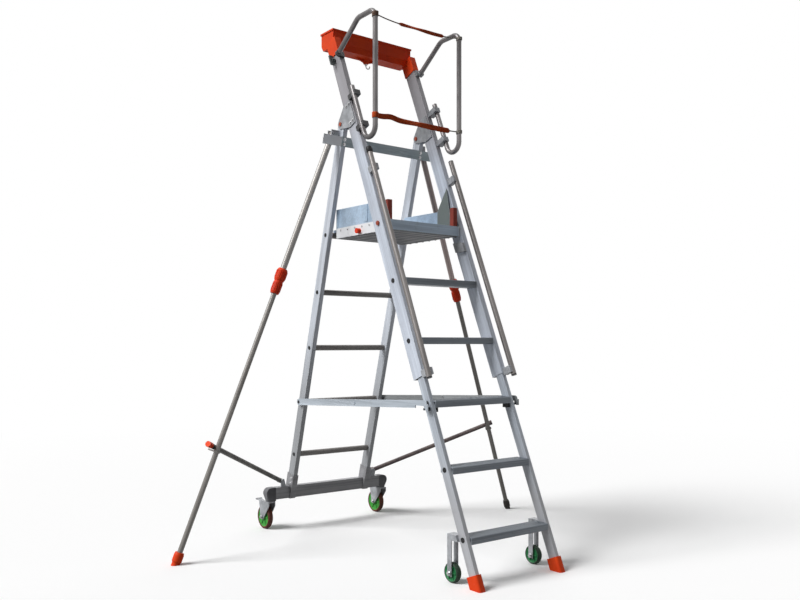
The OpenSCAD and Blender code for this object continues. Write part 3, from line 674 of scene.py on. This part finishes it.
def repeated(tree, end, material, points, instance, turn=None):
    """Put an instance on each point, make all of it real, and send it to the tree's end."""
    inputs = {"Points": points, "Instance": instance}
    if turn is not None:
        inputs["Rotation"] = turn
    spread = add(tree, "GeometryNodeInstanceOnPoints", inputs)
    real = add(tree, "GeometryNodeRealizeInstances", {"Geometry": spread.outputs[0]})
    done = add(tree, "GeometryNodeSetMaterial", {
        "Geometry": real.outputs[0], "Material": material})
    tree.links.new(done.outputs[0], end.inputs[0])


def bolt_tree(material):
    """Hexagon bolt heads on washers, one on each point, facing the point's own way."""
    tree, start, end = node_tree("bolt_heads_" + material.name, {
        "Head Radius": (FLOAT, 0.006), "Head Height": (FLOAT, 0.004),
        "Washer Radius": (FLOAT, 0.009), "Washer Height": (FLOAT, 0.0012)})
    sizes = start.outputs
    head = add(tree, "GeometryNodeMeshCylinder", {
        "Vertices": 6, "Radius": sizes["Head Radius"], "Depth": sizes["Head Height"]})
    washer = add(tree, "GeometryNodeMeshCylinder", {
        "Vertices": 20, "Radius": sizes["Washer Radius"], "Depth": sizes["Washer Height"]})
    head_up = math_node(tree, "ADD", times(tree, sizes["Head Height"], 0.5),
                        sizes["Washer Height"])
    washer_up = times(tree, sizes["Washer Height"], 0.5)
    both = add(tree, "GeometryNodeJoinGeometry")
    for part, height in ((head, head_up), (washer, washer_up)):
        tree.links.new(lifted(tree, part.outputs["Mesh"], height), both.inputs[0])
    repeated(tree, end, material, sizes["Geometry"], both.outputs[0], aimed(tree, "Z"))
    return tree


def rib_tree(material):
    """A ring of upright ribs round the Z axis, standing on z = 0."""
    tree, start, end = node_tree("grip_ribs_" + material.name, {
        "Count": (COUNT, 20), "Ring Radius": (FLOAT, 0.025), "Rib Length": (FLOAT, 0.04),
        "Rib Width": (FLOAT, 0.003), "Rib Height": (FLOAT, 0.002)})
    sizes = start.outputs
    ring = add(tree, "GeometryNodeMeshCircle", {
        "Vertices": sizes["Count"], "Radius": sizes["Ring Radius"]})
    rib = add(tree, "GeometryNodeMeshCube", {"Size": vector(
        tree, X=sizes["Rib Height"], Y=sizes["Rib Width"], Z=sizes["Rib Length"])})
    raised = lifted(tree, rib.outputs["Mesh"], times(tree, sizes["Rib Length"], 0.5))
    outward = add(tree, "FunctionNodeAlignRotationToVector", {
        "Vector": add(tree, "GeometryNodeInputPosition").outputs[0]}, axis="X",
        pivot_axis="Z")
    repeated(tree, end, material, ring.outputs["Mesh"], raised, outward.outputs[0])
    return tree


def bead_tree(material):
    """Round beads along X, side by side along Y, as on the underside of an extrusion."""
    tree, start, end = node_tree("beads_" + material.name, {
        "Count": (COUNT, 8), "Step": (FLOAT, 0.05), "Length": (FLOAT, 0.4),
        "Bead Radius": (FLOAT, 0.005)})
    sizes = start.outputs
    back, ahead = line_ends(tree, sizes["Length"])
    path = add(tree, "GeometryNodeCurvePrimitiveLine", {"Start": back, "End": ahead})
    bead = round_bar(tree, path, sizes["Bead Radius"], sides=14)
    row = add(tree, "GeometryNodeMeshLine", {
        "Count": sizes["Count"], "Offset": vector(tree, Y=sizes["Step"])})
    repeated(tree, end, material, row.outputs[0], bead)
    return tree


def stitch_tree(material):
    """Short rounded stitches, one on each point, lying along the point's own way."""
    tree, start, end = node_tree("stitches_" + material.name, {
        "Length": (FLOAT, 0.004), "Thread Radius": (FLOAT, 0.0005)})
    sizes = start.outputs
    back, ahead = line_ends(tree, sizes["Length"])
    path = add(tree, "GeometryNodeCurveQuadraticBezier", {
        "Resolution": 4, "Start": back, "Middle": vector(tree, Z=sizes["Thread Radius"]),
        "End": ahead})
    thread = round_bar(tree, path, sizes["Thread Radius"], sides=6)
    repeated(tree, end, material, sizes["Geometry"], thread, aimed(tree, "X"))
    return tree


def grown(tree, mesh, sizes):
    """The tree's result on a mesh, as a plain mesh, with its sizes set first."""
    holder = bpy.data.objects.new("holder", mesh)
    bpy.context.scene.collection.objects.link(holder)
    modifier = holder.modifiers.new("grow", "NODES")
    modifier.node_group = tree
    by_name = {s.name: s.identifier for s in tree.interface.items_tree
               if s.in_out == "INPUT"}
    for label, value in sizes.items():
        modifier[by_name[label]] = value
    depsgraph = bpy.context.evaluated_depsgraph_get()
    result = bpy.data.meshes.new_from_object(holder.evaluated_get(depsgraph))
    holder.modifiers.remove(modifier)
    bpy.data.objects.remove(holder)
    return result


def spots_mesh(spots):
    """Loose points, each with the way it faces."""
    mesh = bpy.data.meshes.new("spots")
    mesh.from_pydata([tuple(at) for at, _ in spots], [], [])
    aim = mesh.attributes.new("aim", "FLOAT_VECTOR", "POINT")
    for k, (_, way) in enumerate(spots):
        aim.data[k].vector = way
    return mesh


bolt_heads = bolt_tree(bolt_metal)
thread_runs = stitch_tree(thread_web)
WASHER_WIDE, WASHER_HIGH = 1.45, 0.28  # a washer's radius and height, in those of its head


def bolts(name, body, spots, head, height, slot="steel"):
    """Bolt heads of one size, as one piece."""
    mesh = grown(bolt_heads, spots_mesh(spots), {
        "Head Radius": head, "Head Height": height, "Washer Radius": head * WASHER_WIDE,
        "Washer Height": height * WASHER_HIGH})
    return piece(name, mesh, body)


# Straps

STRAP_STEPS, STRAP_THICK = 96, 0.003
STRAP_INSET = 0.001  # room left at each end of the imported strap's box
HUMP_AT, HUMP_RUN = 0.16, 0.08  # shares of the strap's run
WAVE, WAVE_RATE, TWIST_RATE = 0.004, 9.4, 11  # sideways wave, and how fast it and the twist go
BROADEN_RUN, NARROW_RUN = 0.02, 0.012
CORD_PAST_LEFT, CORD_PAST_RIGHT = 0.012, 0.008  # start of the cords, inside the broad part
SEAM_ROWS, SEAM_SIDES, SEAM_ENDS = 8, (-0.32, 0.32), (-0.3, -0.1, 0.1, 0.3)
SEAM_PAST_LEFT, SEAM_BEFORE_RIGHT, SEAM_FROM_END = 0.03, 0.052, 0.012
STITCH = {"Length": 0.0042, "Thread Radius": 0.0005}
TUBE_RADIUS = 0.0125
TURN_STEPS = 24
BROAD_PAST_END = 0.05  # the lower strap is broad from before its left end
WRAP_LIFT, WRAP_PITCH = 0.62, 0.92  # in the band's thickness and in its width
LAP_FROM, LAP_RISE = 0.9, 0.8  # where a single turn climbs over its own start, and how fast


def make_strap(name, wide_from, wide_to, wide, narrow, sag, hump, twist):
    """A webbing strap between the guard loops: broad in the middle, a cord at its ends.
    It hangs, rides up a little near its left end, and is turned over once on the way."""
    low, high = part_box(name)
    level = high.z - wide / 2
    x0, x1 = low.x + STRAP_INSET, high.x - STRAP_INSET
    y = (low.y + high.y) / 2
    middle, widths, rolls = [], [], []
    for i in range(STRAP_STEPS + 1):
        t = i / STRAP_STEPS
        x = x0 + (x1 - x0) * t
        rise = hump * math.exp(-((t - HUMP_AT) / HUMP_RUN) ** 2)
        drop = sag * 4 * t * (1 - t) - rise
        middle.append(Vector((x, y + WAVE * math.sin(t * WAVE_RATE), level - drop)))
        share = (smooth_share((x - wide_from) / BROADEN_RUN)
                 * smooth_share((wide_to - x) / NARROW_RUN))
        widths.append(narrow + (wide - narrow) * share)
        rolls.append(twist * math.sin(math.pi * t) ** 2 * math.sin(t * TWIST_RATE))
    mesh = band_mesh(name + "_band", middle, widths, STRAP_THICK, rolls)
    web = webbing(name + "_web", STRAP_LIGHT, STRAP_DARK, (
        wide_from + CORD_PAST_LEFT, wide_to - CORD_PAST_RIGHT, CORD_BROWN, CORD_PALE))
    strap = piece(name + "_band", mesh, "front_upper", web)
    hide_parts(name)
    spots = []
    frames = band_frames(middle, rolls)
    for at in (max(wide_from + SEAM_PAST_LEFT, x0 + SEAM_FROM_END),
               wide_to - SEAM_BEFORE_RIGHT):
        first = round((at - x0) / (x1 - x0) * STRAP_STEPS)
        for k in range(SEAM_ROWS):
            ahead, side, up = frames[first + k]
            along = 0 < k < SEAM_ROWS - 1
            way = ahead if along else up
            for across in SEAM_SIDES if along else SEAM_ENDS:
                for face in (-1, 1):
                    spots.append((middle[first + k] + up * across * wide
                                  + side * face * STRAP_THICK / 2, way))
    sewn = grown(thread_runs, spots_mesh(spots), STITCH)
    piece(name + "_stitches", sewn, "front_upper")
    return level


def wrap(name, x, y, z, turns, wide, web):
    """Webbing or cord wound round the upright run of a guard loop, where a strap is tied."""
    pitch = 0.0 if turns < 2 else wide * WRAP_PITCH
    start = z - pitch * turns / 2
    middle = []
    for i in range(int(turns * TURN_STEPS) + 1):
        turn = i / TURN_STEPS
        angle = turn * 2 * math.pi
        lap = 0.0 if pitch else LAP_RISE * max(0.0, turn - LAP_FROM)
        reach = TUBE_RADIUS + STRAP_THICK * (WRAP_LIFT + lap)
        middle.append(Vector((x + reach * math.cos(angle), y + reach * math.sin(angle),
                              start + pitch * turn)))
    mesh = band_mesh(name, middle, [wide] * len(middle), STRAP_THICK)
    piece(name, mesh, "front_upper", web)


upper_box, lower_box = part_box("strap_upper"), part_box("strap_lower")
loop_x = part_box("guard_loops")[1].x - TUBE_RADIUS
strap_y = (upper_box[0].y + upper_box[1].y) / 2
upper_level = make_strap("strap_upper", wide_from=-0.125, wide_to=0.165, wide=0.017,
                         narrow=0.0055, sag=0.014, hump=0.0, twist=0.5)
lower_level = make_strap("strap_lower", wide_from=lower_box[0].x - BROAD_PAST_END,
                         wide_to=0.205, wide=0.026, narrow=0.006, sag=0.004, hump=0.009,
                         twist=0.35)
for name, x, level, turns, wide, web in (
        ("strap_upper_tie_left", -loop_x, upper_level, 4, 0.006, cord_web),
        ("strap_upper_tie_right", loop_x, upper_level, 3, 0.0055, pale_web),
        ("strap_lower_eye_left", -loop_x, lower_level, 1.2, 0.026, strap_web),
        ("strap_lower_tie_right", loop_x, lower_level, 3, 0.006, pale_web)):
    wrap(name, x, strap_y, level, turns, wide, web)


# Bolts and nuts

SOCKET_WALL = 0.004  # of the base bar's sockets, round the rear stiles
APEX_BEHIND, APEX_ALONG = (-0.015, 0.008), (-0.042, 0.052)  # bolts round the fold pin
STILE_BEHIND, STILE_ALONG = -0.050, (-0.774, 0.264)  # bolts on the front stiles
SOCKET_BEHIND, SOCKET_UP = -0.014, (0.02, 0.05)  # bolts over the base bar
KNEE_X, KNEE_BEHIND, KNEE_BELOW = 0.243, -0.0325, (0.070, 0.094)  # bolts on the knee bar
# Radius and height of each kind of head
FRAME_BOLT, REAR_BOLT, NUT = (0.0062, 0.0042), (0.0058, 0.0040), (0.0075, 0.006)
CASTOR_HALF, WHEEL_HALF = 0.0240, 0.0220  # from the middle of an axle to its nuts

plate_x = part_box("frame_brackets")[1].x
stile_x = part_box("upper_stiles")[1].x
socket_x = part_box("rear_stiles")[1].x + SOCKET_WALL
fold_along = (fold_at - pivot_at).dot(front_up)
base_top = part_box("base_caps")[1].z
base_below = (fold_at.z - base_top) / rear_up.z

upper_spots, rear_spots = [], []
for _, sign in SIDES:
    way = (sign, 0, 0)
    for behind in APEX_BEHIND:
        for along in APEX_ALONG:
            upper_spots.append((on_front(sign * plate_x, behind, fold_along + along), way))
    for along in STILE_ALONG:
        upper_spots.append((on_front(sign * stile_x, STILE_BEHIND, along), way))
    for up in SOCKET_UP:
        rear_spots.append((on_rear(sign * socket_x, SOCKET_BEHIND, base_below - up), way))
    for below in KNEE_BELOW:
        rear_spots.append((on_rear(sign * KNEE_X, KNEE_BEHIND, below), -rear_back))
bolts("frame_bolts", "front_upper", upper_spots, *FRAME_BOLT)
bolts("rear_bolts", "rear_frame", rear_spots, *REAR_BOLT)

for side, _ in SIDES:
    for kind, body, half in (("castor", "castor_" + side, CASTOR_HALF),
                             ("front_wheel", "front_lower", WHEEL_HALF)):
        hub_at = joint_at(f"{kind}_spin_{side}")
        ends = [(hub_at + Vector((reach, 0, 0)), (math.copysign(1, reach), 0, 0))
                for reach in (-half, half)]
        bolts(f"{kind}_nuts_{side}", body, ends, *NUT)


# Cap on the upper end of the left handrail

CAP_SIDES, RAIL_END_PLAY = 28, 0.0005
CAP_DEEP, CAP_WALL, CAP_TOP, CAP_ROOM = 0.024, 0.0020, 0.0042, 0.0002
# Outward from the tube, or None on its axis, and along it: the inside, the rim, the outside
CAP_OUTLINE = (
    (None, CAP_TOP), (CAP_ROOM, CAP_TOP), (CAP_ROOM, -CAP_DEEP),
    (CAP_WALL * 0.6, -CAP_DEEP), (CAP_WALL, -CAP_DEEP + 0.001), (CAP_WALL, 0.0025),
    (CAP_WALL * 0.55, CAP_TOP + 0.0012), (-0.0030, CAP_TOP + 0.0026),
    (-0.0075, CAP_TOP + 0.0032), (None, CAP_TOP + 0.0033),
)


def cap_mesh(name):
    """A moulded cap, turned round the end of the left handrail's tube."""
    points = [v.co.copy() for v in nodes["handrails"].data.vertices if v.co.x < 0]
    reach = max(p.dot(front_up) for p in points)
    rim = [p for p in points if p.dot(front_up) > reach - RAIL_END_PLAY]
    end = sum(rim, Vector()) / len(rim)
    tube = max((p - end).length for p in rim)
    turn = turned_to(front_up)
    shape = bmesh.new()
    rings = []
    for out, along in CAP_OUTLINE:
        radius = 0.0 if out is None else tube + out
        ring = []
        for step in range(CAP_SIDES if radius else 1):
            angle = 2 * math.pi * step / CAP_SIDES
            flat = Vector((radius * math.cos(angle), radius * math.sin(angle), along))
            ring.append(shape.verts.new(end + turn @ flat))
        rings.append(ring)
    for near, far in zip(rings, rings[1:]):
        for step in range(CAP_SIDES):
            after = (step + 1) % CAP_SIDES
            corners = [near[step % len(near)], near[after % len(near)],
                       far[after % len(far)], far[step % len(far)]]
            face = shape.faces.new(list(dict.fromkeys(corners)))
            face.smooth = True
    return finished(shape, name)


piece("handrail_cap", cap_mesh("handrail_cap"), "front_upper", black_shell)

# Rivets along the toe boards

KNOB_INSIDE = 0.024  # length of a pull knob behind the outer face of its toe board
RIVETS, RIVET_FIRST, RIVET_STEP, RIVET_DOWN = 7, 0.03, 0.062, 0.014
RIVET = (0.0042, 0.0022)  # radius and height

board_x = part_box("platform_knob_right")[0].x + KNOB_INSIDE
rivet_spots = []
for _, sign in SIDES:
    for k in range(RIVETS):
        y = deck_low.y + RIVET_FIRST + k * RIVET_STEP
        rivet_spots.append((Vector((sign * board_x, y, deck_high.z - RIVET_DOWN)),
                            (sign, 0, 0)))
bolts("board_rivets", "platform", rivet_spots, *RIVET, "sheet_aluminium")

# Beads under the deck

HOOK_REACH = 0.0646  # of the rung hooks, behind the deck
BEADS, BEAD_RADIUS, BEAD_SHORTER = 9, 0.006, 0.012
BEAD_INSET, BEAD_SUNK = 0.015, 0.002

deck_run = deck_high.y - HOOK_REACH - deck_low.y
bead_step = (deck_run - 2 * BEAD_INSET) / (BEADS - 1)
beads = grown(bead_tree(bead_metal), bpy.data.meshes.new("empty"), {
    "Count": BEADS, "Step": bead_step, "Length": deck_high.x - deck_low.x - BEAD_SHORTER,
    "Bead Radius": BEAD_RADIUS})
beads.transform(Matrix.Translation((0, deck_low.y + BEAD_INSET, deck_low.z + BEAD_SUNK)))
piece("deck_beads", beads, "platform")


# Rings of ribs: spokes in the wheel hubs and grips on the collars


def rib_ring(tree, centre, way, sizes):
    """A ring of ribs about a direction, standing on a centre."""
    mesh = grown(tree, bpy.data.meshes.new("empty"), sizes)
    mesh.transform(Matrix.Translation(centre) @ turned_to(way).to_4x4())
    return mesh


SPOKES, SPOKE_LENGTH, SPOKE_INSET = 6, 0.004, 0.005
SPOKE_RING, SPOKE_WIDE, SPOKE_HIGH = 0.265, 0.055, 0.175  # in the tyre's diameter

hub_spokes = {"front": rib_tree(deep_green_shell), "castor": rib_tree(green_shell)}
for side, sign in SIDES:
    for kind, joint, body in (("front", "front_wheel_spin_", "front_wheel_"),
                              ("castor", "castor_spin_", "castor_wheel_")):
        tyre_low, tyre_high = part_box(f"{kind}_tyre_{side}")
        hub_low, hub_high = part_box(f"{kind}_hub_{side}")
        across = tyre_high.z - tyre_low.z
        inset = (hub_high.x - hub_low.x) / 2 - SPOKE_INSET
        for label, way in (("outer", sign), ("inner", -sign)):
            centre = joint_at(joint + side) + Vector((way * inset, 0, 0))
            mesh = rib_ring(hub_spokes[kind], centre, Vector((way, 0, 0)), {
                "Count": SPOKES, "Ring Radius": across * SPOKE_RING,
                "Rib Length": SPOKE_LENGTH, "Rib Width": across * SPOKE_WIDE,
                "Rib Height": across * SPOKE_HIGH})
            piece(f"{kind}_spokes_{label}_{side}", mesh, body + side)

GRIP_WIDE, GRIP_HIGH = 0.0032, 0.0024
# Start along the collar, ring radius, number of ribs and their length
COLLAR_GRIPS = (("upper", -0.054, 0.0268, 22, 0.034), ("lower", 0.008, 0.0230, 18, 0.040))

red_ribs = rib_tree(red_shell)
for side, _ in SIDES:
    twist = "collar_twist_" + side
    axis = joint_axis(twist)
    for label, start, radius, count, length in COLLAR_GRIPS:
        mesh = rib_ring(red_ribs, joint_at(twist) + axis * start, axis, {
            "Count": count, "Ring Radius": radius, "Rib Length": length,
            "Rib Width": GRIP_WIDE, "Rib Height": GRIP_HIGH})
        piece(f"collar_ribs_{label}_{side}", mesh, "collar_" + side)


# Floor and light

FLOOR_HALF = 30
FADE_FROM, FADE_TO = 1.6, 6.5  # where the floor turns white, from the ladder's middle
WHITE, BLACK = (1, 1, 1), (0, 0, 0)


def seen_ray(tree):
    """1 for the eye and for gloss and glass, 0 for the light that falls on the ladder."""
    path = add(tree, "ShaderNodeLightPath")
    return math_node(tree, "MAXIMUM", path.outputs["Is Camera Ray"],
                     math_node(tree, "MAXIMUM", path.outputs["Is Glossy Ray"],
                               path.outputs["Is Transmission Ray"]))


def floor(pale, dull):
    """A plain floor, pale to the eye, that throws back less light than it seems to and
    turns into the white background a few metres off."""
    mesh = bpy.data.meshes.new("floor")
    corners = ((-1, -1), (1, -1), (1, 1), (-1, 1))
    mesh.from_pydata([(x * FLOOR_HALF, y * FLOOR_HALF, 0) for x, y in corners], [],
                     [(0, 1, 2, 3)])
    made = bpy.data.objects.new("floor", mesh)
    bpy.context.scene.collection.objects.link(made)
    material, tree, shader = new_material("pale_floor")
    seen = seen_ray(tree)
    reach = add(tree, "ShaderNodeVectorMath", {0: place(tree)}, operation="LENGTH")
    far = ramp(tree, reach.outputs["Value"], FADE_FROM, FADE_TO)
    near_colour = blend_colour(tree, seen, (dull,) * 3, (pale,) * 3)
    link(tree, blend_colour(tree, far, near_colour, BLACK), shader, "Base Color")
    shader.inputs["Emission Color"].default_value = (*WHITE, 1)
    link(tree, times(tree, far, seen), shader, "Emission Strength")
    shader.inputs["Roughness"].default_value = 0.9
    shader.inputs["Specular IOR Level"].default_value = 0.0
    mesh.materials.append(material)


def world(background, fill):
    """A white background for the eye and for gloss, and a softer fill for the rest."""
    made = bpy.data.worlds.new("studio")
    made.use_nodes = True
    tree = made.node_tree
    strength = ramp(tree, seen_ray(tree), 0, 1, fill, background)
    shade = tree.nodes["Background"]
    shade.inputs["Color"].default_value = (*WHITE, 1)
    tree.links.new(strength, shade.inputs["Strength"])
    bpy.context.scene.world = made


def sun(name, toward, strength, softness):
    """Even soft light that falls along one direction, over the whole floor."""
    data = bpy.data.lights.new(name, "SUN")
    data.energy = strength
    data.angle = math.radians(softness)
    made = bpy.data.objects.new(name, data)
    made.rotation_euler = Vector(toward).to_track_quat("-Z", "Y").to_euler()
    bpy.context.scene.collection.objects.link(made)


floor(pale=0.98, dull=0.24)
world(background=1.0, fill=0.17)
sun("key", toward=(0.70, -0.18, -0.69), strength=3.3, softness=30)
sun("fill", toward=(-0.60, -0.50, -0.62), strength=0.5, softness=60)
